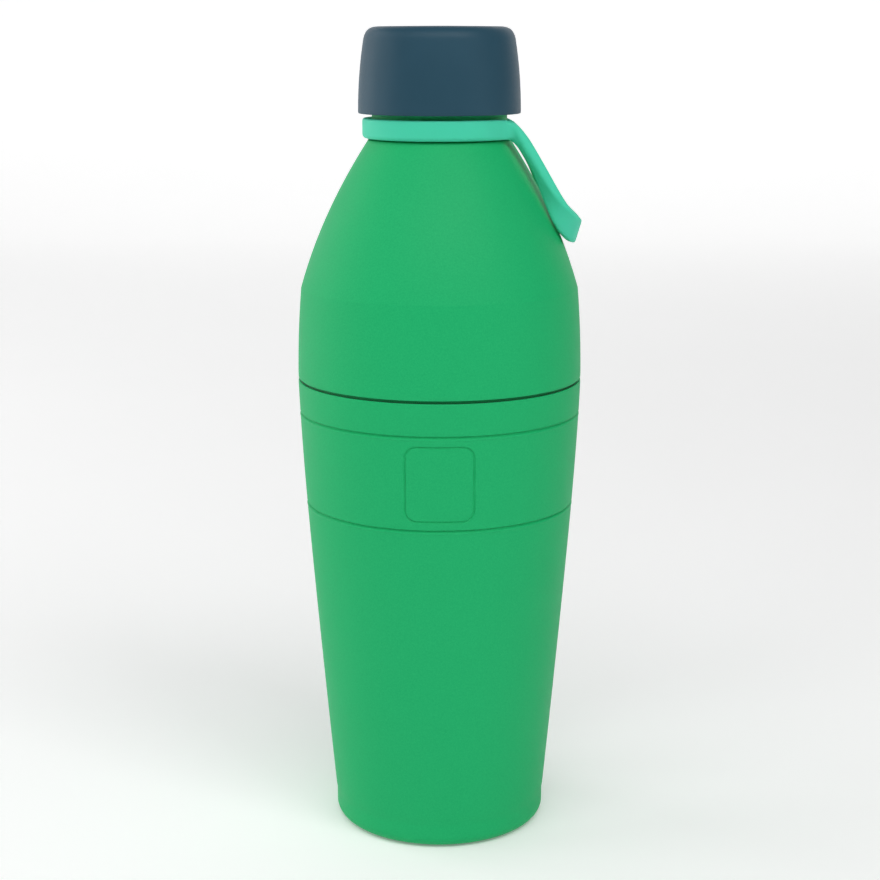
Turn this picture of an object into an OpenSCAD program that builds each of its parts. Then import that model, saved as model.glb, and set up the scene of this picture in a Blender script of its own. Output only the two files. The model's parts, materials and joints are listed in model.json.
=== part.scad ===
// Screw-together insulated drinking bottle: a double-wall cup, a double-wall
// bottle top with a threaded spout, a screw cap and a silicone carry strap.
// Millimetres, +Z up, origin at the centre of the base, carry loop towards +X.

/* [Body] */
// Height of the cup's rim above the surface the bottle stands on
cup_h = 134; // [120:1:150]
// Largest radius of the bottle, at the cup's rim
body_r = 40.96; // [40.6:0.02:41.6]
// Radius of the straight wall just above the foot
base_r = 31.2; // [30:0.1:32.4]
// Radius of the rounded foot corner
foot_r = 3.1; // [2:0.1:3.6]
// Height of the open seam between the cup's rim and the bottle top
seam_gap = 0.8; // [0.6:0.05:1.2]
// Depth of the two grooves rolled round the cup
groove_d = 0.28; // [0.1:0.02:0.4]

/* [Walls] */
// Thickness of the outer steel walls
wall_o = 0.6; // [0.4:0.05:0.8]
// Thickness of the inner steel walls
wall_i = 0.5; // [0.4:0.05:0.6]
// Horizontal distance from the outer face to the inside of the cup
wall_total = 3.2; // [2.8:0.1:3.8]

/* [Bottle top] */
// Height of the nearly straight band above the seam
band_h = 25.7; // [22:0.1:30]
// Radius at the crease where the shoulder starts
crease_r = 39.76; // [39.4:0.02:40.2]
// Height of the sloping shoulder
shoulder_h = 41.2; // [38:0.2:46]
// Outer radius of the steel neck
neck_r = 19.1; // [18.9:0.05:19.2]
// Inner radius of the drinking spout
mouth_r = 15; // [13:0.1:15.2]

/* [Cap] */
// Outer radius of the cap's skirt at its lower edge
cap_r = 22.98; // [22.8:0.02:23.6]
// Total height of the cap
cap_h = 24; // [23.6:0.1:26]

/* [Threads] */
// Rise per turn of the two-start thread between cup and top
joint_lead = 9; // [8.6:0.1:9.6]
// Rise per turn of the two-start thread between spout and cap
cap_lead = 8; // [7.6:0.1:8.4]
// Straight pieces in one turn of a thread
thread_steps = 36; // [24:4:60]

/* [Strap] */
// Height of the silicone band round the neck
strap_h = 6.4; // [5:0.1:6.4]
// Thickness of the silicone band
strap_t = 2.4; // [1.8:0.1:2.4]
// Half width of the finger loop, outside
loop_w = 11.4; // [11.4:0.1:13]

/* [Hidden] */
round_fn = 96;

foot_z = 0.4;                       // steel foot, held off the table by the pad
seam_z = cup_h + seam_gap;          // lower edge of the bottle top
crease_z = seam_z + band_h;         // 160.5
ledge_z = crease_z + shoulder_h;    // 201.7, where the shoulder meets the neck
neck_z = ledge_z + 10.3;            // 212, steel rim of the neck
cap_z = ledge_z + 7.9;              // 209.6, lower edge of the cap
top_z = cap_z + cap_h;              // 233.6
lip_z = neck_z + 13.5;              // 225.5, rim of the spout
run = 0.05;                         // face clearance of the seals
collar_r = 35.85;                   // root of the collar's thread
bore_r = 37.4;                      // bore of the cup where the collar turns
spout_r = 17.2;                     // root of the spout's thread
cap_bore_r = 19.4;                  // bore of the cap's liner
rim_r = body_r - wall_o;            // weld line of the cup's two walls

// Bernstein curve through the control values c, t from 0 to 1
function head(c) = [for (i = [0:len(c) - 2]) c[i]];
function tail(c) = [for (i = [1:len(c) - 1]) c[i]];
function bern(c, t) = len(c) == 1 ? c[0] : (1 - t) * bern(head(c), t) + t * bern(tail(c), t);

// Outer radius of the cup, the band above the seam, the shoulder and the cap
function cup_r(z) = bern([body_r, body_r - 1.03, body_r - 4.15, base_r + 3.13, base_r + 0.16],
                         (cup_h - z) / (cup_h - 8));
function band_r(z) = bern([crease_r, 40.91, 40.94], (crease_z - z) / band_h);
function shoulder_r(z) = bern([20.56, 33.93, crease_r], (ledge_z - z) / shoulder_h);
function top_r(z) = z < crease_z ? band_r(z) : shoulder_r(z);
function cap_skirt_r(z) = bern([cap_r, cap_r - 0.03, cap_r - 0.55, cap_r - 1.75],
                               (z - cap_z) / (cap_h - 3));

// Points along a wall, d inside the outer face, from z0 to z1 in n steps
function cup_wall(z0, z1, n, d) = [for (i = [0:n]) let (z = z0 + (z1 - z0) * i / n) [cup_r(z) - d, z]];
function top_wall(z0, z1, n, d) = [for (i = [0:n]) let (z = z0 + (z1 - z0) * i / n) [top_r(z) - d, z]];
function arc(cx, cz, r, a0, a1, n) = [for (i = [0:n]) let (a = a0 + (a1 - a0) * i / n)
                                      [cx + r * cos(a), cz + r * sin(a)]];

module lathe(pts) rotate_extrude($fn = round_fn) polygon(pts);
module ring(r0, r1, z0, z1) lathe([[r0, z0], [r1, z0], [r1, z1], [r0, z1]]);
module disc(r, z0, z1) translate([0, 0, z0]) cylinder(r = r, h = z1 - z0, $fn = round_fn);

// One trapezoid ridge on a helix, from angle a0 to a1, that starts at height z
// at angle 0 and runs from the wall at r_root to its crest at r_crest.
// w_root and w_crest are its widths, and both ends taper into the wall.
module ridge(r_root, r_crest, z, lead, a0, a1, w_root, w_crest) {
    n = ceil((a1 - a0) * thread_steps / 360);
    fade = 4;
    sec = [for (i = [0:n])
        let (a = a0 + (a1 - a0) * i / n,
             k = min(1, (i + 0.3) / fade, (n - i + 0.3) / fade),
             rc = r_root + (r_crest - r_root) * k,
             zc = z + lead * a / 360,
             back = r_root - sign(r_crest - r_root) * 0.2)
        [[back, zc - w_root / 2], [rc, zc - w_crest / 2], [rc, zc + w_crest / 2], [back, zc + w_root / 2]]];
    pts = [for (i = [0:n]) let (a = a0 + (a1 - a0) * i / n) for (p = sec[i])
           [p[0] * cos(a), p[0] * sin(a), p[1]]];
    flip = r_crest > r_root ? 1 : 0;
    sides = [for (i = [0:n - 1]) for (j = [0:3])
        let (k = (j + 1) % 4, a = 4 * i + j, b = 4 * i + k, c = 4 * i + 4 + k, d = 4 * i + 4 + j)
        each [[a, b, c], [a, c, d]]];
    ends = [[0, 3, 2], [0, 2, 1], [4 * n, 4 * n + 1, 4 * n + 2], [4 * n, 4 * n + 2, 4 * n + 3]];
    faces = [for (f = concat(sides, ends)) flip == 0 ? [f[2], f[1], f[0]] : f];
    polyhedron(points = pts, faces = faces, convexity = 6);
}
module two_start(r_root, r_crest, z, lead, a0, a1, w_root, w_crest)
    for (s = [0, 180]) rotate([0, 0, s])
        ridge(r_root, r_crest, z, lead, a0, a1, w_root, w_crest);

// Groove rolled into the cup's outer face at height z
function groove(z) = [[cup_r(z - 0.55), z - 0.55], [cup_r(z) - groove_d, z - 0.1],
                      [cup_r(z) - groove_d, z + 0.12], [cup_r(z + 0.5), z + 0.5]];

// ---- cup ----

module cup_outer_shell() color("#2BAA6C")
    lathe(concat(
        [[27.5, foot_z]],
        arc(base_r - foot_r, foot_z + foot_r, foot_r, -90, 0, 8),
        [[base_r, 7.4]],
        cup_wall(8.6, 96.6, 16, 0), groove(97.93), cup_wall(99.6, 123, 6, 0), groove(124.67),
        cup_wall(126.4, cup_h - 0.6, 3, 0), [[body_r - 0.36, cup_h], [rim_r, cup_h]],
        cup_wall(cup_h - 1, 8.6, 24, wall_o), [[base_r - wall_o, 7.4]],
        arc(base_r - foot_r, foot_z + foot_r, foot_r - wall_o, 0, -90, 8),
        [[27.5, foot_z + wall_o]]));

module cup_inner_liner() color("#C9CCCE") {
    d0 = wall_total;
    d1 = wall_total - wall_i;
    r0 = cup_r(13) - d0;
    lathe(concat(
        [[0, 6.9]], arc(r0 - 6, 12.9, 6, -90, 0, 8), cup_wall(20, 112, 12, d0),
        [[bore_r, 114], [bore_r, 129.6], [rim_r - 0.55, cup_h - 0.4], [rim_r - 0.55, cup_h], [rim_r, cup_h],
         [rim_r, cup_h - 0.7], [bore_r + wall_i, 129.4], [bore_r + wall_i, 114.2]],
        cup_wall(111.8, 20, 12, d1), arc(r0 - 6, 12.9, 6 + wall_i, 0, -90, 8), [[0, 6.9 - wall_i]]));
    two_start(bore_r, 36.3, 118, joint_lead, 0, 270, 2.2, 1.0);
}

module cup_base_plate() color("#B9BDC0")
    difference() {
        lathe([[0, 1.8], [26.9, 1.8], [26.9, foot_z], [27.5, foot_z], [27.5, 2.4], [0, 2.4]]);
        disc(1, 1, 3);
    }

module cup_base_pad() color("#20242A")
    lathe([[0, 0], [26.2, 0], [26.8, 0.5], [26.8, 1.8], [0, 1.8]]);

module cup_heat_shield() color("#C07A4A") {
    d = wall_total - wall_i - 0.15;
    lathe(concat(cup_wall(16, 110, 12, d), cup_wall(110, 16, 12, d - 0.25)));
}

module cup_getter() color("#8A8F93")
    translate([12, 0, 2.4]) cylinder(r = 5, h = 1.6, $fn = round_fn);

module cup_vacuum_seal() color("#6F7478")
    union() { disc(0.95, 1.9, 2.45); disc(2.5, 2.4, 3); }

// ---- seal between cup and top ----

module joint_seal() color("#22302C")
    lathe([[collar_r + 0.1, 130.7], [37.85, 130.7], [rim_r - 0.62, cup_h - 0.35], [rim_r - 0.62, cup_h + run],
           [rim_r - 0.16, cup_h + run], [rim_r - 0.16, seam_z - run], [collar_r + 0.1, seam_z - run]]);

// ---- bottle top ----

module top_outer_shell() color("#2BAA6C")
    lathe(concat(
        [[40.34, seam_z], [40.6, seam_z], [40.94, seam_z + 0.6]],
        top_wall(seam_z + 2, crease_z, 8, 0), top_wall(crease_z + 1.6, ledge_z, 18, 0),
        [[neck_r, ledge_z], [neck_r, neck_z], [neck_r - wall_o, neck_z], [neck_r - wall_o, ledge_z - 0.6]],
        top_wall(ledge_z - 0.6, crease_z + 1.6, 18, wall_o + 0.1),
        top_wall(crease_z, seam_z + 2, 8, wall_o)));

module top_inner_liner() color("#C9CCCE") {
    d = wall_total + 0.2;
    lathe(concat(
        [[collar_r + 0.05, seam_z + 0.8], [collar_r + 0.05, 142]], top_wall(148, 199, 18, d),
        [[17, ledge_z + 0.5], [17, neck_z], [neck_r - wall_o, neck_z], [neck_r - wall_o, neck_z - 0.5],
         [17 + wall_i, neck_z - 0.5], [17 + wall_i, ledge_z + 0.6]],
        top_wall(199, 148, 18, d - wall_i),
        [[collar_r + 0.05 + wall_i, 142], [collar_r + 0.05 + wall_i, seam_z + 0.8]]));
}

module top_floor_ring() color("#B9BDC0")
    difference() {
        ring(collar_r + 0.05 + wall_i, 40.28, seam_z + 0.8, seam_z + 1.4);
        translate([-38.4, 0, seam_z]) cylinder(r = 0.8, h = 3, $fn = round_fn);
    }

module top_heat_shield() color("#C07A4A") {
    d = wall_total - wall_i + 0.05;
    lathe(concat(top_wall(150, 196, 14, d), top_wall(196, 150, 14, d - 0.25)));
}

module top_getter() color("#8A8F93")
    translate([38.4, 0, seam_z + 1.4]) cylinder(r = 1.4, h = 1.4, $fn = round_fn);

module top_vacuum_seal() color("#6F7478")
    translate([-38.4, 0, seam_z + 0.85]) union() {
        cylinder(r = 0.75, h = 0.6, $fn = round_fn);
        translate([0, 0, 0.55]) cylinder(r = 1.4, h = 0.6, $fn = round_fn);
    }

module screw_collar() color("#D9DCDD") {
    lathe([[34.4, 114.5], [35.3, 114.5], [collar_r, 115.1], [collar_r, seam_z], [40.2, seam_z],
           [40.2, seam_z + 0.8], [collar_r, seam_z + 0.8], [collar_r, 141], [34.4, 141]]);
    two_start(collar_r, 36.95, 118 - joint_lead / 4, joint_lead, 60, 380, 2.2, 1.0);
}

module spout() color("#E3E6E6") {
    lathe([[mouth_r, 204], [16.9, 204], [16.9, 207.2], [15.9, 207.2], [15.9, 208.8], [16.9, 208.8],
           [16.9, neck_z], [19, neck_z], [19, neck_z + 1.4], [spout_r, neck_z + 1.4], [spout_r, lip_z - 0.8],
           [spout_r - 0.6, lip_z - 0.2], [spout_r - 1.2, lip_z], [mouth_r + 0.5, lip_z], [mouth_r, lip_z - 0.5]]);
    two_start(spout_r, 18.7, 215, cap_lead, 0, 290, 1.8, 0.9);
}

module spout_seal() color("#30363A")
    rotate_extrude($fn = round_fn) translate([16.42, 208]) circle(r = 0.5, $fn = 32);

// ---- carry strap ----

module strap_ring() color("#4FCFA8") {
    r0 = neck_r + 0.3;
    r1 = r0 + strap_t;
    z0 = ledge_z + 0.3;
    z1 = z0 + strap_h;
    difference() {
        lathe([[r0, z0 + 0.3], [r0 + 0.3, z0], [r1 - 0.6, z0], [r1, z0 + 0.6],
               [r1, z1 - 0.6], [r1 - 0.6, z1], [r0 + 0.3, z1], [r0, z1 - 0.3]]);
        translate([17, -14, z0 + 4.3]) cube([8, 28, 4]);
    }
}

// Side outline of the loop's band, which hangs along the shoulder and flares
// outwards at its end; x outwards, z up
loop_side = [[25.6, 202.3], [28.3, 198.7], [31.7, 193], [34.9, 187.3], [38.2, 183],
             [40.85, 179.9], [39.4, 174.3], [38, 173.2], [36.4, 174.4], [33.6, 177.6], [31.5, 180.8],
             [29.8, 184.2], [28.4, 187.6], [26.9, 191.7], [25.4, 195.6], [24, 198.1], [22.3, 200.7],
             each arc(22, 204.8, 1.8, 205, 50, 10)];
loop_tilt = 16.6;

module stadium(w, tip) union() {
    translate([tip - w, 0]) circle(r = w, $fn = round_fn);
    translate([0, -w]) square([tip - w, 2 * w]);
}

module strap_loop() color("#4FCFA8") {
    intersection() {
        translate([0, 20, ledge_z - 201.7]) rotate([90, 0, 0]) linear_extrude(40)
            polygon(loop_side);
        translate([0, 0, ledge_z - 21.7]) rotate([0, loop_tilt, 0]) translate([0, 0, -40]) linear_extrude(90)
            difference() {
                stadium(loop_w, 39.2);
                translate([-1, 0]) stadium(loop_w - strap_t, 39.2 - strap_t + 1);
            }
    }
    // round root of each strand, on the axis it bends about
    for (y = [-loop_w, loop_w - strap_t])
        translate([22, y + strap_t, ledge_z + 3.1]) rotate([90, 0, 0]) cylinder(r = 2.1, h = strap_t, $fn = round_fn);
}

// ---- cap ----

module cap_shell() color("#2C4A58")
    lathe(concat(
        [[21.2, cap_z], [cap_r - 0.3, cap_z], [cap_r, cap_z + 0.3]],
        [for (i = [1:12]) let (z = cap_z + 0.3 + (cap_h - 3.3) * i / 12) [cap_skirt_r(z), z]],
        [[20.85, top_z - 2.3], [20.5, top_z - 1.55], [20.1, top_z - 1.0], [19.6, top_z - 0.65],
         [19, top_z - 0.4], [18, top_z - 0.15], [16.5, top_z - 0.04], [0, top_z]],
        [[0, top_z - 2.2], [17.8, top_z - 2.2], [18.8, top_z - 2.6], [20.4, top_z - 4.8], [21.2, top_z - 8.1]]));

module cap_liner() color("#DDE0E0") {
    lathe([[cap_bore_r, cap_z + 0.3], [21.1, cap_z + 0.3], [21.1, lip_z - 0.1], [20.4, lip_z + 2.0], [19.9, lip_z + 2.9],
           [0, lip_z + 2.9], [0, lip_z + 1.5], [cap_bore_r, lip_z + 1.5]]);
    two_start(cap_bore_r, 17.7, 215 - cap_lead / 4, cap_lead, 90, 340, 1.8, 0.9);
}

module cap_insulation() color("#F2EFE6")
    lathe([[0, lip_z + 3], [18.9, lip_z + 3], [18.9, lip_z + 4.5], [17.5, top_z - 2.3], [0, top_z - 2.3]]);

module cap_seal() color("#3A4247")
    ring(14.6, 19.2, lip_z + run, lip_z + 1.5 - run);

cup_outer_shell();
cup_inner_liner();
cup_base_plate();
cup_base_pad();
cup_heat_shield();
cup_getter();
cup_vacuum_seal();
joint_seal();
top_outer_shell();
top_inner_liner();
top_floor_ring();
top_heat_shield();
top_getter();
top_vacuum_seal();
screw_collar();
spout();
spout_seal();
strap_ring();
strap_loop();
cap_shell();
cap_liner();
cap_insulation();
cap_seal();
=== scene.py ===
import json
import math

import bmesh
import bpy
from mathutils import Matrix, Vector


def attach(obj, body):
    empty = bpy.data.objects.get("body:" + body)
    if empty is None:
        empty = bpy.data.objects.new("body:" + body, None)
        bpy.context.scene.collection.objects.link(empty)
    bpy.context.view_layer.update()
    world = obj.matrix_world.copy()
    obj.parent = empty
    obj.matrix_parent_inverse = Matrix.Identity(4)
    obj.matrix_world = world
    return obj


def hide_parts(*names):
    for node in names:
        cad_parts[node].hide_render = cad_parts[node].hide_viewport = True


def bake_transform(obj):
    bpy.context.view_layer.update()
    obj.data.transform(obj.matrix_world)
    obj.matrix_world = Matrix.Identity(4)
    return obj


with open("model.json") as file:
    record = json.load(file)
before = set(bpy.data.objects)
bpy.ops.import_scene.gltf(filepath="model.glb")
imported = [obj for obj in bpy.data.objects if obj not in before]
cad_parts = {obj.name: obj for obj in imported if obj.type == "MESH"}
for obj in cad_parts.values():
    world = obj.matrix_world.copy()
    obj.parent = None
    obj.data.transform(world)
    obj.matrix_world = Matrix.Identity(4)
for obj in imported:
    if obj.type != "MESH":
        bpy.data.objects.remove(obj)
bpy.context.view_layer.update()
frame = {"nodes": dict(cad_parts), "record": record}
MM = 0.001
scene = bpy.context.scene
scene.view_settings.view_transform = "Standard"
scene.view_settings.look = "None"

# ---------------------------------------------------------------- camera
cam_data = bpy.data.cameras.new("camera")
cam_data.sensor_width = 36.0
cam_data.lens = 72.757
cam_data.clip_start = 0.01
cam_data.clip_end = 50
camera = bpy.data.objects.new("camera", cam_data)
camera.location = (0.000149, -0.5098, 0.2295)
camera.rotation_euler = (math.radians(90 - 12.65), 0, 0)
scene.collection.objects.link(camera)
scene.camera = camera


# ---------------------------------------------------------------- helpers
def bern(c, t):
    c = list(c)
    while len(c) > 1:
        c = [a + (b - a) * t for a, b in zip(c, c[1:])]
    return c[0]


def smooth(t):
    t = min(1.0, max(0.0, t))
    return t * t * (3 - 2 * t)


def rounded(corners, seg=6):
    """A closed outline from corners (r, z) or (r, z, radius), each radius filleted."""
    n = len(corners)
    out = []
    for i, c in enumerate(corners):
        p = Vector((c[0], c[1]))
        rad = c[2] if len(c) > 2 else 0
        if not rad:
            out.append((p.x, p.y))
            continue
        a = Vector(corners[i - 1][:2]) - p
        b = Vector(corners[(i + 1) % n][:2]) - p
        la, lb = a.length, b.length
        a.normalize()
        b.normalize()
        half = math.acos(max(-1, min(1, a.dot(b)))) / 2
        cut = min(rad / math.tan(half), 0.49 * la, 0.49 * lb)
        rr = cut * math.tan(half)
        centre = p + (a + b).normalized() * (rr / math.sin(half))
        s = (p + a * cut) - centre
        e = (p + b * cut) - centre
        sweep = math.atan2(s.x * e.y - s.y * e.x, s.dot(e))
        for k in range(seg + 1):
            t = sweep * k / seg
            out.append((centre.x + s.x * math.cos(t) - s.y * math.sin(t),
                        centre.y + s.x * math.sin(t) + s.y * math.cos(t)))
    return out


def even_angles(n):
    return [2 * math.pi * i / n for i in range(n)]


def new_object(name, verts, faces, angle=32):
    mesh = bpy.data.meshes.new(name)
    mesh.from_pydata(verts, [], faces)
    bm = bmesh.new()
    bm.from_mesh(mesh)
    bmesh.ops.remove_doubles(bm, verts=bm.verts, dist=1e-7)
    bmesh.ops.recalc_face_normals(bm, faces=bm.faces)
    bm.to_mesh(mesh)
    bm.free()
    mesh.polygons.foreach_set("use_smooth", [True] * len(mesh.polygons))
    mesh.set_sharp_from_angle(angle=math.radians(angle))
    mesh.update()
    obj = bpy.data.objects.new(name, mesh)
    scene.collection.objects.link(obj)
    return obj


def lathe(name, outline, angles=None, change=None, angle=32):
    """Turns a closed outline (r, z in mm) round Z. Points on the axis become one
    vertex. change(r, z, theta) may give another radius, for threads and panels."""
    angles = angles or even_angles(256)
    cols = len(angles)
    verts, rows = [], []
    for r, z in outline:
        if r < 1e-6:
            rows.append([len(verts)] * cols)
            verts.append((0, 0, z * MM))
            continue
        row = []
        for a in angles:
            q = change(r, z, a) if change else r
            row.append(len(verts))
            verts.append((q * math.cos(a) * MM, q * math.sin(a) * MM, z * MM))
        rows.append(row)
    faces = []
    for i in range(len(rows)):
        a, b = rows[i], rows[(i + 1) % len(rows)]
        if a[0] == a[1] and b[0] == b[1]:
            continue
        for j in range(cols):
            k = (j + 1) % cols
            f = [a[j], a[k], b[k], b[j]]
            f = [v for n, v in enumerate(f) if v != f[n - 1]]
            if len(f) > 2:
                faces.append(f)
    return new_object(name, verts, faces, angle)


def line(z0, z1, step, radius):
    n = max(1, int(math.ceil(abs(z1 - z0) / step)))
    return [(radius(z0 + (z1 - z0) * i / n), z0 + (z1 - z0) * i / n) for i in range(n + 1)]


def helix(root, crest, z_start, lead, a0, a1, width_root, width_crest, starts=2):
    """Radius change for a thread ridge, with rounded flanks and tapered ends.
    The ridge's middle is at z_start + lead * angle / 360 for angles a0 to a1."""
    depth = crest - root

    def at(z, theta):
        best = 0.0
        deg = math.degrees(theta) % 360
        for s in range(starts):
            base = (deg - 360.0 * s / starts) % 360
            for turn in (-1, 0, 1, 2):
                a = base + 360 * turn
                if a < a0 or a > a1:
                    continue
                d = abs(z - (z_start + lead * a / 360))
                k = smooth(min((a - a0), (a1 - a)) / 28.0)
                h = (width_root / 2 - d) / ((width_root - width_crest) / 2)
                best = max(best, smooth(h) * k)
        return depth * best
    return at


# ---------------------------------------------------------------- outer form of the bottle
SEAM = 134.8
CREASE = 160.5
LEDGE = 201.7
NECK = 212.0
CUP = 134.0
CAP0, TOP = 209.6, 233.6
LIP = 225.5
FLOOR_GLOW = 0.15


def cup_r(z):
    return bern([40.96, 39.93, 36.81, 34.33, 31.36], (CUP - z) / 126.0)


def band_r(z):
    return bern([39.76, 40.91, 40.94], (CREASE - z) / 25.7)


def shoulder_r(z):
    return bern([20.56, 33.93, 39.76], (LEDGE - z) / 41.2)


def top_r(z):
    """The band and the shoulder, with the crease between them softened a little."""
    k = smooth((z - (CREASE - 0.35)) / 0.7)
    return band_r(z) * (1 - k) + shoulder_r(z) * k if abs(z - CREASE) < 0.35 else (band_r(z) if z < CREASE else shoulder_r(z))


GROOVES = (124.67, 97.93)


def groove_cut(z):
    """A rolled groove with a very slight raised lip under it."""
    cut = 0.0
    for g in GROOVES:
        d = abs(z - g) / (0.46 if z > g else 0.54)
        lip = abs(z - (g - 0.8)) / 0.4
        if d < 1:
            cut += 0.5 * (1 - smooth((d - 0.1) / 0.9))
        if lip < 1:
            cut -= 0.08 * (1 - smooth(lip))
    return cut


# a plain rounded frame pressed into the front, between the two grooves
PANEL_Z, PANEL_W, PANEL_H, PANEL_R = 111.2, 9.6, 10.6, 3.2
FRONT = -math.pi / 2


def panel_cut(z, theta, r):
    u = abs((theta - FRONT + math.pi) % (2 * math.pi) - math.pi) * r
    v = abs(z - PANEL_Z)
    if u > PANEL_W + 1 or v > PANEL_H + 1:
        return 0.0
    qx, qy = u - PANEL_W + PANEL_R, v - PANEL_H + PANEL_R
    d = math.hypot(max(qx, 0), max(qy, 0)) + min(max(qx, qy), 0) - PANEL_R
    return 0.36 * (1 - smooth((abs(d) - 0.08) / 0.34))


def cup_angles():
    fine = math.radians(16.5)
    out = []
    n = 150
    for i in range(n + 1):
        out.append(FRONT - fine + 2 * fine * i / n)
    m = 210
    start, span = FRONT + fine, 2 * math.pi - 2 * fine
    for i in range(1, m):
        out.append(start + span * i / m)
    return out


def cup_outline():
    rows = []
    z = 9.0
    while z < CUP - 0.9:
        rows.append((cup_r(z), z))
        if any(g - 1.35 < z + 0.01 < g + 0.6 for g in GROOVES):
            z += 0.075
        elif abs(z + 0.01 - PANEL_Z) < PANEL_H + 0.6:
            z += 0.16
        else:
            ahead = [g - 1.35 - z for g in GROOVES] + [PANEL_Z - PANEL_H - 0.6 - z]
            z += min([1.6] + [d for d in ahead if d > 0.005])
    arc = [(28.1 + 3.1 * math.cos(math.radians(a)), 3.5 + 3.1 * math.sin(math.radians(a))) for a in range(-90, 1, 6)]
    wall = [(31.2, 4.4), (31.2, 5.6), (31.2, 6.8), (31.235, 7.8)]
    rim = [(cup_r(133.1), 133.1)] + rounded([(39.0, 132.0), (cup_r(133.1), 133.1), (40.92, CUP, 0.55), (40.36, CUP)], 8)[2:]
    inner = line(133.4, 9.0, 3.0, lambda z: cup_r(z) - 0.6) + [(30.6, 7.2), (30.6, 4.2)]
    inner_arc = [(28.1 + 2.5 * math.cos(math.radians(a)), 3.5 + 2.5 * math.sin(math.radians(a))) for a in range(0, -91, -15)]
    return [(27.5, 0.4)] + arc + wall + rows + rim + inner + inner_arc + [(27.5, 1.0)]


cup_shell = lathe("cup_shell", cup_outline(), cup_angles(),
                  lambda r, z, t: r - (groove_cut(z) + panel_cut(z, t, r) if abs(r - cup_r(z)) < 0.05 and z > 20 else 0), 40)
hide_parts("cup_outer_shell")
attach(cup_shell, "cup")


def top_outline():
    low = rounded([(40.34, SEAM), (40.92, SEAM, 0.26), (band_r(SEAM + 1.4), SEAM + 1.4), (39, SEAM + 1.5)], 8)[:-1]
    rows = line(SEAM + 1.8, CREASE - 0.5, 1.4, band_r) + line(CREASE - 0.4, CREASE + 0.4, 0.08, top_r) + \
        line(CREASE + 0.6, LEDGE - 0.9, 1.1, shoulder_r)
    neck = rounded([(shoulder_r(LEDGE - 0.8), LEDGE - 0.8), (20.56, LEDGE), (20.2, LEDGE + 0.6, 0.35), (19.1, LEDGE + 0.85, 0.2), (19.1, NECK, 0.25),
                    (18.5, NECK), (18.5, LEDGE - 0.6), (16, LEDGE - 0.6)], 6)[1:-1]
    inner = line(LEDGE - 1.0, CREASE + 1, 3, lambda z: shoulder_r(z) - 0.7) + line(CREASE - 1, SEAM + 1.6, 4, lambda z: band_r(z) - 0.6)
    return low + rows + neck + inner


top_shell = lathe("top_shell", top_outline(), even_angles(300), None, 40)
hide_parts("top_outer_shell")
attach(top_shell, "bottle_top")


# ---------------------------------------------------------------- cap
def cap_skirt_r(z):
    return bern([22.98, 22.95, 22.43, 21.23], (z - CAP0) / 21.0)


def cap_outline():
    pts = rounded([(21.2, CAP0, 0.25), (22.98, CAP0, 0.35), (22.96, CAP0 + 1.2)], 6)[:-1]
    pts += line(CAP0 + 1.0, TOP - 3.4, 0.8, cap_skirt_r)
    p0, p1, p2, p3 = (cap_skirt_r(TOP - 3.2), TOP - 3.2), (20.75, TOP - 1.55), (20.1, TOP - 0.35), (17.6, TOP - 0.16)
    for i in range(1, 21):
        t = i / 20
        pts.append((bern([p0[0], p1[0], p2[0], p3[0]], t), bern([p0[1], p1[1], p2[1], p3[1]], t)))
    for r in (16, 14, 12, 10, 8, 6.5):
        pts.append((r, TOP - 0.16 * (r / 17.6) ** 1.5))
    pts += [(4.6, TOP - 0.02), (2.5, TOP), (0, TOP)]
    pts += [(0, TOP - 2.2), (17.8, TOP - 2.2), (18.8, TOP - 2.6), (20.4, TOP - 4.8), (21.2, TOP - 8.1), (21.2, CAP0 + 2)]
    return pts


cap = lathe("cap", cap_outline(), even_angles(256), None, 40)
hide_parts("cap_shell")
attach(cap, "cap")

# ---------------------------------------------------------------- inner parts with threads
cup_thread = helix(37.4, 36.3, 118, 9, 0, 270, 2.2, 0.9)


def liner_outline():
    d0, d1 = 3.2, 2.7
    r0 = cup_r(13) - d0
    pts = [(0, 6.9)] + [(r0 - 6 + 6 * math.cos(math.radians(a)), 12.9 + 6 * math.sin(math.radians(a))) for a in range(-90, 1, 9)]
    pts += line(16, 111.5, 4, lambda z: cup_r(z) - d0)
    pts += [(36.95, 112.6), (37.3, 113.6), (37.4, 114.4)] + line(115, 129.0, 0.28, lambda z: 37.4)
    pts += rounded([(37.4, 129.2), (37.4, 129.6, 0.6), (39.81, 133.6, 0.5), (39.81, 134.0, 0.18), (40.36, 134.0),
                    (40.36, 133.3), (37.9, 129.4), (37.9, 114.2)], 5)
    pts += line(111.8, 20, 6, lambda z: cup_r(z) - d1)
    pts += [(r0 - 6 + 6.5 * math.cos(math.radians(a)), 12.9 + 6.5 * math.sin(math.radians(a))) for a in range(0, -91, -15)] + [(0, 6.4)]
    return pts


liner = lathe("cup_liner", liner_outline(), even_angles(240),
              lambda r, z, t: r + (cup_thread(z, t) if abs(r - 37.4) < 0.01 and 114.9 < z < 129.1 else 0), 40)
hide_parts("cup_inner_liner")
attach(liner, "cup")

collar_thread = helix(35.85, 36.95, 118 - 2.25, 9, 60, 380, 2.2, 0.9)


def collar_outline():
    pts = rounded([(34.4, 114.5, 0.3), (35.85, 114.5, 0.5), (35.85, 115.4)], 5)[:-1]
    pts += line(115.4, 128.8, 0.28, lambda z: 35.85)
    pts += rounded([(35.85, 129), (35.85, SEAM, 0.3), (40.2, SEAM, 0.2), (40.2, SEAM + 0.8), (35.85, SEAM + 0.8), (35.85, 141), (34.4, 141, 0.3),
                    (34.4, 128)], 5)
    return pts


collar = lathe("collar", collar_outline(), even_angles(240),
               lambda r, z, t: r + (collar_thread(z, t) if abs(r - 35.85) < 0.01 and z < 129 else 0), 40)
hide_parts("screw_collar")
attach(collar, "bottle_top")

spout_thread = helix(17.2, 18.7, 215, 8, 0, 290, 1.8, 0.8)


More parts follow.
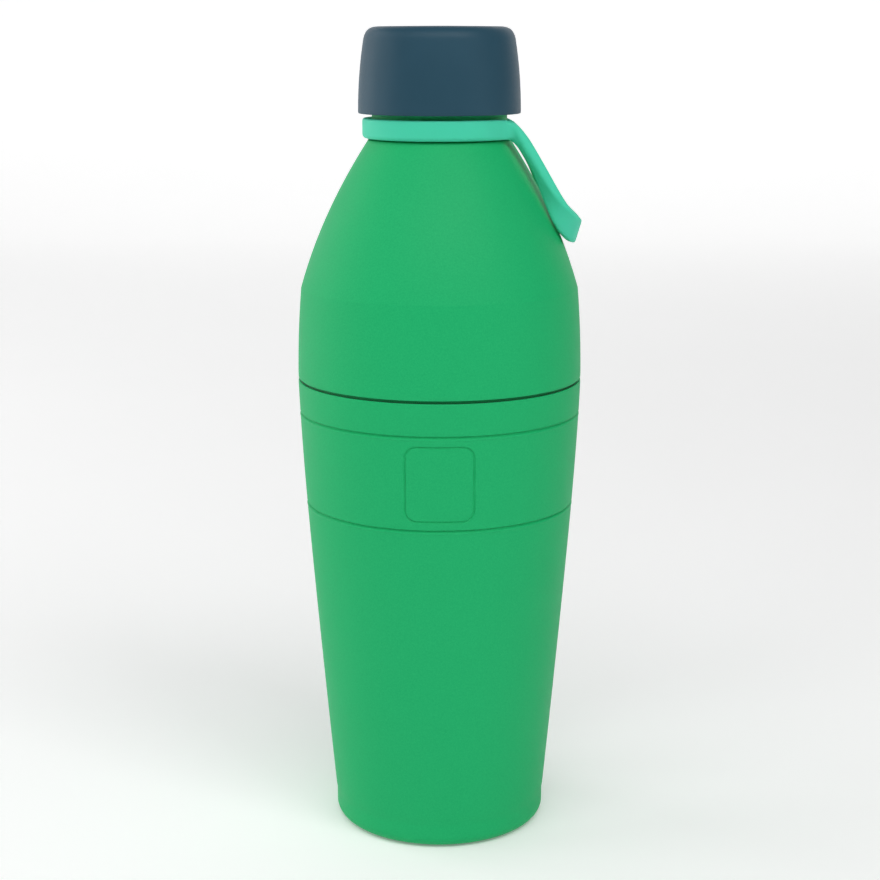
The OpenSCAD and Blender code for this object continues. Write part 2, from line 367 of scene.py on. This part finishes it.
def spout_outline():
    pts = rounded([(15, 204, 0.2), (16.9, 204, 0.3), (16.9, 207.2), (15.9, 207.2), (15.9, 208.8), (16.9, 208.8), (16.9, NECK), (19, NECK, 0.3),
                   (19, NECK + 1.4, 0.4), (17.2, NECK + 1.4, 0.2), (17.2, NECK + 1.7)], 4)
    pts += line(NECK + 1.8, LIP - 1.6, 0.25, lambda z: 17.2)
    pts += rounded([(17.2, LIP - 1.5), (17.2, LIP, 0.9), (15, LIP, 0.8), (15, LIP - 3)], 7)
    return pts


spout = lathe("spout_part", spout_outline(), even_angles(180),
              lambda r, z, t: r + (spout_thread(z, t) if abs(r - 17.2) < 0.01 and z > NECK + 1.75 else 0), 40)
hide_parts("spout")
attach(spout, "bottle_top")

cap_thread = helix(19.4, 17.7, 213, 8, 90, 340, 1.8, 0.8)


def cap_liner_outline():
    pts = [(19.4, CAP0 + 0.6)] + line(CAP0 + 1, LIP + 0.5, 0.25, lambda z: 19.4)
    pts += [(19.4, LIP + 1.5), (0, LIP + 1.5), (0, LIP + 2.9), (19.9, LIP + 2.9), (20.4, LIP + 2), (21.1, LIP - 0.1)]
    pts += rounded([(21.1, LIP - 0.2), (21.1, CAP0 + 0.3, 0.3), (19.4, CAP0 + 0.3, 0.3), (19.4, CAP0 + 0.9)], 4)[1:-1]
    return pts


cap_in = lathe("cap_insert", cap_liner_outline(), even_angles(180),
               lambda r, z, t: r + (cap_thread(z, t) if abs(r - 19.4) < 0.01 and CAP0 + 0.9 < z < LIP + 0.6 else 0), 40)
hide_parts("cap_liner")
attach(cap_in, "cap")

seal = lathe("seam_seal", rounded([(35.95, 130.7, 0.3), (37.85, 130.7, 0.4), (39.73, 133.65), (39.73, CUP + 0.05), (40.2, CUP + 0.05, 0.2),
                                   (40.2, SEAM - 0.05, 0.2), (35.95, SEAM - 0.05)], 5), even_angles(256), None, 40)
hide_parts("joint_seal")
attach(seal, "joint_seal")

cap_ring = lathe("cap_gasket", rounded([(14.6, LIP + 0.05, 0.3), (19.2, LIP + 0.05, 0.3), (19.2, LIP + 1.45, 0.1), (14.6, LIP + 1.45, 0.1)], 4),
                 even_angles(180), None, 40)
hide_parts("cap_seal")
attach(cap_ring, "cap_seal")

pad = lathe("base_pad", rounded([(0, 0.25), (7, 0.25), (7.4, 0.0), (26.5, 0.0, 0.4), (26.8, 0.6, 0.2), (26.8, 1.8), (0, 1.8)], 5), even_angles(200), None, 30)
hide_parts("cup_base_pad")
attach(pad, "cup")


# ---------------------------------------------------------------- strap
def rrect(w, t, r, seg=5):
    """Outline of a band's section, w across and t thick, as (across, thick) pairs.
    r is the corner radius, or two radii, for the upper and the lower edge."""
    up, low = r if isinstance(r, tuple) else (r, r)
    out = []
    for cx, cy, a, r in ((w / 2 - up, t / 2 - up, 0, up), (-w / 2 + low, t / 2 - low, 90, low),
                         (-w / 2 + low, -t / 2 + low, 180, low), (w / 2 - up, -t / 2 + up, 270, up)):
        for k in range(seg + 1):
            b = math.radians(a + 90 * k / seg)
            out.append((cx + r * math.cos(b), cy + r * math.sin(b)))
    return out


def sweep(name, stations, closed):
    """stations: (centre, across, normal, width, thickness, corner radius) in mm."""
    verts, faces, ring_n = [], [], None
    for c, w_dir, n_dir, w, t, r in stations:
        sec = rrect(w, t, r)
        ring_n = len(sec)
        for a, b in sec:
            verts.append(tuple((Vector(c) + Vector(w_dir) * a + Vector(n_dir) * b) * MM))
    m = len(stations)
    for i in range(m if closed else m - 1):
        for j in range(ring_n):
            k = (j + 1) % ring_n
            a, b = i * ring_n, ((i + 1) % m) * ring_n
            faces.append((a + j, a + k, b + k, b + j))
    if not closed:
        faces.append(tuple(range(ring_n)))
        faces.append(tuple(range((m - 1) * ring_n, m * ring_n))[::-1])
    return new_object(name, verts, faces, 60)


def catmull(pts, n):
    out = []
    m = len(pts)
    for i in range(m - 1):
        p0 = pts[max(0, i - 1)]
        p1, p2 = pts[i], pts[i + 1]
        p3 = pts[min(m - 1, i + 2)]
        for k in range(n):
            t = k / n
            out.append(tuple(0.5 * (2 * b + (c - a) * t + (2 * a - 5 * b + 4 * c - d) * t * t + (3 * b - a - 3 * c + d) * t ** 3)
                             for a, b, c, d in zip(p0, p1, p2, p3)))
    out.append(tuple(pts[-1]))
    return out


# the band round the neck: full height at the back and sides, lower between the loop's roots
BAND_R, BAND_T = 20.62, 2.4
band = []
for i in range(180):
    a = 2 * math.pi * i / 180
    near = abs((a + math.pi) % (2 * math.pi) - math.pi)
    k = smooth((math.radians(41) - near) / math.radians(20))
    high = 208.35 - 2.6 * k
    low = 202.7
    band.append(((BAND_R * math.cos(a), BAND_R * math.sin(a), (high + low) / 2), (0, 0, 1), (math.cos(a), math.sin(a), 0), high - low, BAND_T, (0.55, 1.15)))
strap_a = sweep("strap_band", band, True)

# The loop. Each row is a station of one strand: the upper and the lower edge of the
# band seen from the side (x, z), its distance from the middle plane, how far the band
# is twisted so that its outer face looks down, its thickness and its corner radius.
half = [
    (12.6, 208.33, 12.6, 202.72, 16.3, 0, 2.4, 0.85),
    (15.4, 208.33, 15.4, 202.72, 13.7, 0, 2.4, 0.85),
    (17.8, 208.25, 17.6, 202.65, 11.4, 2, 2.5, 0.9),
    (20.2, 207.7, 19.7, 202.2, 10.3, 16, 2.8, 1.1),
    (22.1, 206.35, 21.2, 201.1, 10.0, 36, 3.1, 1.3),
    (24.1, 204.1, 22.8, 199.1, 10.0, 52, 3.3, 1.4),
    (26.4, 200.9, 24.3, 196.5, 10.1, 60, 3.3, 1.4),
    (28.6, 197.6, 25.7, 193.6, 10.2, 58, 3.2, 1.35),
    (30.7, 194.2, 27.0, 190.3, 10.3, 54, 3.1, 1.3),
    (32.7, 190.7, 28.5, 186.6, 10.4, 44, 2.9, 1.2),
    (34.5, 187.4, 30.2, 182.9, 10.3, 28, 2.6, 1.0),
    (36.1, 184.7, 32.1, 179.5, 9.9, 13, 2.45, 0.85),
    (37.6, 182.7, 34.1, 176.6, 8.4, 4, 2.4, 0.75),
    (38.9, 181.2, 36.1, 174.5, 5.7, 0, 2.4, 0.7),
    (39.45, 180.4, 37.25, 173.6, 2.8, 0, 2.4, 0.65),
    (39.6, 180.15, 37.65, 173.4, 0.0, 0, 2.4, 0.65),
]
front = [(a, b, c, d, -y, q, t, r) for a, b, c, d, y, q, t, r in half]
back = [(a, b, c, d, y, -q, t, r) for a, b, c, d, y, q, t, r in half[-2::-1]]
path = catmull(front + back, 6)
centres = [Vector(((p[0] + p[2]) / 2, p[4], (p[1] + p[3]) / 2)) for p in path]
stations = []
for i, p in enumerate(path):
    tan = (centres[min(i + 1, len(path) - 1)] - centres[max(i - 1, 0)]).normalized()
    up = Vector((p[0] - p[2], 0, p[1] - p[3]))
    seen = up.length
    up = (up - tan * up.dot(tan)).normalized()
    nrm = tan.cross(up).normalized()
    q = math.radians(p[5])
    t = p[6]
    width = (seen - t * abs(math.sin(q))) / math.cos(q)
    w_dir = up * math.cos(q) + nrm * math.sin(q)
    n_dir = nrm * math.cos(q) - up * math.sin(q)
    stations.append((centres[i], w_dir, n_dir, max(width, t * 1.02), t, min(p[7], t * 0.48)))
strap_b = sweep("strap_loop_part", stations, False)

# merge the two into one moulding
bpy.ops.object.select_all(action="DESELECT")
strap_a.select_set(True)
strap_b.select_set(True)
bpy.context.view_layer.objects.active = strap_a
bpy.ops.object.join()
strap = strap_a
strap.name = "strap"
remesh = strap.modifiers.new("remesh", "REMESH")
remesh.mode = "VOXEL"
remesh.voxel_size = 0.00028
relax = strap.modifiers.new("relax", "SMOOTH")
relax.factor = 0.5
relax.iterations = 6
bpy.context.view_layer.update()
bpy.ops.object.modifier_apply(modifier="remesh")
bpy.ops.object.modifier_apply(modifier="relax")
strap.data.polygons.foreach_set("use_smooth", [True] * len(strap.data.polygons))
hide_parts("strap_ring", "strap_loop")
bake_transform(strap)


# ---------------------------------------------------------------- materials
def material(name):
    m = bpy.data.materials.new(name)
    m.use_nodes = True
    nodes, links = m.node_tree.nodes, m.node_tree.links
    return m, nodes, links, nodes["Principled BSDF"]


def noise(nodes, links, coord, scale, detail=3, rough=0.5, stretch=None):
    src = coord
    if stretch:
        mp = nodes.new("ShaderNodeMapping")
        mp.inputs["Scale"].default_value = stretch
        links.new(coord, mp.inputs["Vector"])
        src = mp.outputs["Vector"]
    n = nodes.new("ShaderNodeTexNoise")
    n.inputs["Scale"].default_value = scale
    n.inputs["Detail"].default_value = detail
    n.inputs["Roughness"].default_value = rough
    links.new(src, n.inputs["Vector"])
    return n.outputs["Fac"]


def ramp(nodes, links, fac, stops):
    r = nodes.new("ShaderNodeValToRGB")
    els = r.color_ramp.elements
    while len(els) < len(stops):
        els.new(0.5)
    for e, (p, c) in zip(els, stops):
        e.position = p
        e.color = (*c, 1)
    links.new(fac, r.inputs["Fac"])
    return r.outputs["Color"]


def to_range(nodes, links, fac, lo, hi, a=0.3, b=0.7):
    r = nodes.new("ShaderNodeMapRange")
    r.inputs["From Min"].default_value = a
    r.inputs["From Max"].default_value = b
    r.inputs["To Min"].default_value = lo
    r.inputs["To Max"].default_value = hi
    links.new(fac, r.inputs["Value"])
    return r.outputs["Result"]


def bump(nodes, links, height, distance, strength, normal=None):
    b = nodes.new("ShaderNodeBump")
    b.inputs["Distance"].default_value = distance
    b.inputs["Strength"].default_value = strength
    links.new(height, b.inputs["Height"])
    if normal:
        links.new(normal, b.inputs["Normal"])
    return b.outputs["Normal"]


def powder_coat():
    m, nodes, links, p = material("green_powder_coat")
    co = nodes.new("ShaderNodeTexCoord").outputs["Object"]
    fine = noise(nodes, links, co, 2600, 2, 0.55)
    mid = noise(nodes, links, co, 900, 3, 0.5)
    wide = noise(nodes, links, co, 40, 2, 0.5)
    col = ramp(nodes, links, fine, [(0.28, (0.008, 0.390, 0.130)), (0.5, (0.0106, 0.417, 0.140)), (0.74, (0.014, 0.445, 0.151))])
    links.new(col, p.inputs["Base Color"])
    links.new(to_range(nodes, links, wide, 0.50, 0.56), p.inputs["Roughness"])
    p.inputs["Specular IOR Level"].default_value = 0.15
    n1 = bump(nodes, links, mid, 0.00006, 0.35)
    n2 = bump(nodes, links, fine, 0.00004, 0.5, n1)
    links.new(n2, p.inputs["Normal"])
    return m


def moulded(name, dark, light, rough, grain=1400, depth=0.00003, spec=0.5):
    m, nodes, links, p = material(name)
    co = nodes.new("ShaderNodeTexCoord").outputs["Object"]
    fine = noise(nodes, links, co, grain, 3, 0.6)
    wide = noise(nodes, links, co, 55, 2, 0.5)
    links.new(ramp(nodes, links, wide, [(0.3, dark), (0.7, light)]), p.inputs["Base Color"])
    links.new(to_range(nodes, links, fine, rough - 0.03, rough + 0.05), p.inputs["Roughness"])
    p.inputs["Specular IOR Level"].default_value = spec
    links.new(bump(nodes, links, fine, depth, 0.4), p.inputs["Normal"])
    return m, nodes, links, p


def silicone():
    m, nodes, links, p = moulded("mint_silicone", (0.062, 0.605, 0.394), (0.068, 0.630, 0.411), 0.5, 1700, 0.00002, 0.15)
    p.inputs["Subsurface Weight"].default_value = 0.25
    p.inputs["Subsurface Radius"].default_value = (0.0012, 0.0024, 0.0018)
    p.inputs["Subsurface Scale"].default_value = 1.0
    return m


def brushed(name, dark, light, rough, around=True):
    m, nodes, links, p = material(name)
    co = nodes.new("ShaderNodeTexCoord").outputs["Object"]
    # fine lines that run round the axis: they vary with height only
    lines = noise(nodes, links, co, 60, 4, 0.7, (1.5, 1.5, 90))
    wide = noise(nodes, links, co, 30, 2, 0.5)
    links.new(ramp(nodes, links, lines, [(0.3, dark), (0.7, light)]), p.inputs["Base Color"])
    p.inputs["Metallic"].default_value = 1.0
    links.new(to_range(nodes, links, wide, rough - 0.03, rough + 0.05), p.inputs["Roughness"])
    links.new(bump(nodes, links, lines, 0.00002, 0.3), p.inputs["Normal"])
    return m


green = powder_coat()
dark_plastic = moulded("dark_plastic", (0.0192, 0.0625, 0.095), (0.0212, 0.068, 0.103), 0.42, 1500, 0.00003, 0.165)[0]
pale_plastic = moulded("pale_plastic", (0.72, 0.745, 0.735), (0.78, 0.80, 0.79), 0.38, 1200, 0.00002)[0]
# the seal in the seam: green silicone, with its colour made darker than its own tint as painted shade, standing for the
# shadow in the gap between the two shells
seam_silicone_and_shade = moulded("seam_silicone_and_shade", (0.001, 0.165, 0.050), (0.002, 0.195, 0.062), 0.6, 1600, 0.00002, 0.2)[0]
dark_silicone = moulded("dark_silicone", (0.010, 0.045, 0.030), (0.014, 0.055, 0.038), 0.6, 1600, 0.00002, 0.3)[0]
pad_rubber = moulded("pad_rubber", (0.018, 0.022, 0.025), (0.026, 0.031, 0.034), 0.7, 1300, 0.00005, 0.3)[0]
foam = moulded("foam", (0.80, 0.78, 0.72), (0.88, 0.86, 0.80), 0.85, 900, 0.0001, 0.2)[0]
mint = silicone()
steel = brushed("brushed_steel", (0.60, 0.61, 0.62), (0.74, 0.75, 0.76), 0.36)
copper = brushed("copper_foil", (0.62, 0.30, 0.17), (0.76, 0.42, 0.26), 0.22)

BY_SLOT = {"green_powder_coat": green, "dark_plastic": dark_plastic, "pale_plastic": pale_plastic, "dark_silicone": dark_silicone,
           "mint_silicone": mint, "brushed_steel": steel, "copper_foil": copper, "foam": foam}
for obj, mat in ((cup_shell, green), (top_shell, green), (cap, dark_plastic), (liner, steel), (collar, pale_plastic), (spout, pale_plastic),
                 (cap_in, pale_plastic), (seal, seam_silicone_and_shade), (cap_ring, dark_silicone), (pad, pad_rubber), (strap, mint)):
    obj.data.materials.clear()
    obj.data.materials.append(mat)
slots = {s["node"]: s["material_slot"] for s in frame["record"]["subparts"]}
for name, node in frame["nodes"].items():
    mat = BY_SLOT.get(slots.get(name))
    if mat and node.type == "MESH":
        for s in node.material_slots:
            s.material = mat

# ---------------------------------------------------------------- floor and light
def seamless():
    """A plain pale floor that curves up into a backdrop."""
    prof = [(-2.6, 0.0), (-1.0, 0.0), (0.0, 0.0), (0.8, 0.0), (1.6, 0.0)]
    prof += [(1.6 + 1.4 * math.sin(math.radians(a)), 1.4 - 1.4 * math.cos(math.radians(a))) for a in range(6, 91, 6)]
    prof += [(3.0, 3.0)]
    verts, faces = [], []
    for y, z in prof:
        for x in (-4.0, 0.0, 4.0):
            verts.append((x, y, z))
    for i in range(len(prof) - 1):
        for j in range(2):
            a = i * 3 + j
            faces.append((a, a + 1, a + 4, a + 3))
    mesh = bpy.data.meshes.new("floor")
    mesh.from_pydata(verts, [], faces)
    mesh.polygons.foreach_set("use_smooth", [True] * len(mesh.polygons))
    obj = bpy.data.objects.new("floor", mesh)
    scene.collection.objects.link(obj)
    return obj


floor = seamless()
fm, fn, fl, fp = material("floor_white")
co = fn.new("ShaderNodeTexCoord").outputs["Object"]
fl.new(ramp(fn, fl, noise(fn, fl, co, 6, 2), [(0.3, (0.90, 0.90, 0.90)), (0.7, (0.91, 0.91, 0.91))]), fp.inputs["Base Color"])
fp.inputs["Roughness"].default_value = 0.85
fp.inputs["Specular IOR Level"].default_value = 0.1
fp.inputs["Emission Color"].default_value = (1, 1, 1, 1)
xyz = fn.new("ShaderNodeSeparateXYZ")
fl.new(co, xyz.inputs["Vector"])
fl.new(to_range(fn, fl, xyz.outputs["Y"], FLOOR_GLOW, 0.62, 0.1, 2.2), fp.inputs["Emission Strength"])
floor.data.materials.append(fm)

world = bpy.data.worlds.new("studio")
scene.world = world
world.use_nodes = True
wn, wl = world.node_tree.nodes, world.node_tree.links
wn["Background"].inputs["Color"].default_value = (1, 1, 1, 1)
wn["Background"].inputs["Strength"].default_value = 0.21


def area(name, loc, aim, size, size_y, power):
    d = bpy.data.lights.new(name, "AREA")
    d.shape = "RECTANGLE"
    d.size, d.size_y = size, size_y
    d.energy = power
    o = bpy.data.objects.new(name, d)
    o.location = loc
    o.rotation_euler = (Vector(aim) - Vector(loc)).to_track_quat("-Z", "Y").to_euler()
    scene.collection.objects.link(o)
    return o


def panel(name, azimuth, power, size=0.5, size_y=1.2, dist=1.2, height=0.5):
    """A tall softbox at an azimuth from the camera's side, towards +X."""
    a = math.radians(azimuth)
    return area(name, (dist * math.sin(a), -dist * math.cos(a), height), (0, 0, 0.13), size, size_y, power)


for azimuth, power in ((-115, 3.9), (-85, 3.6), (60, 1.25)):
    panel("panel_%d" % azimuth, azimuth, power)
area("top_front", (0, -0.9, 1.1), (0, 0, 0.13), 0.7, 0.5, 4.65)
area("top_front_right", (0.6, -0.75, 1.1), (0, 0, 0.13), 0.5, 0.5, 4.7)
area("top_front_left", (-0.6, -0.75, 1.1), (0, 0, 0.13), 0.5, 0.5, 2.4)
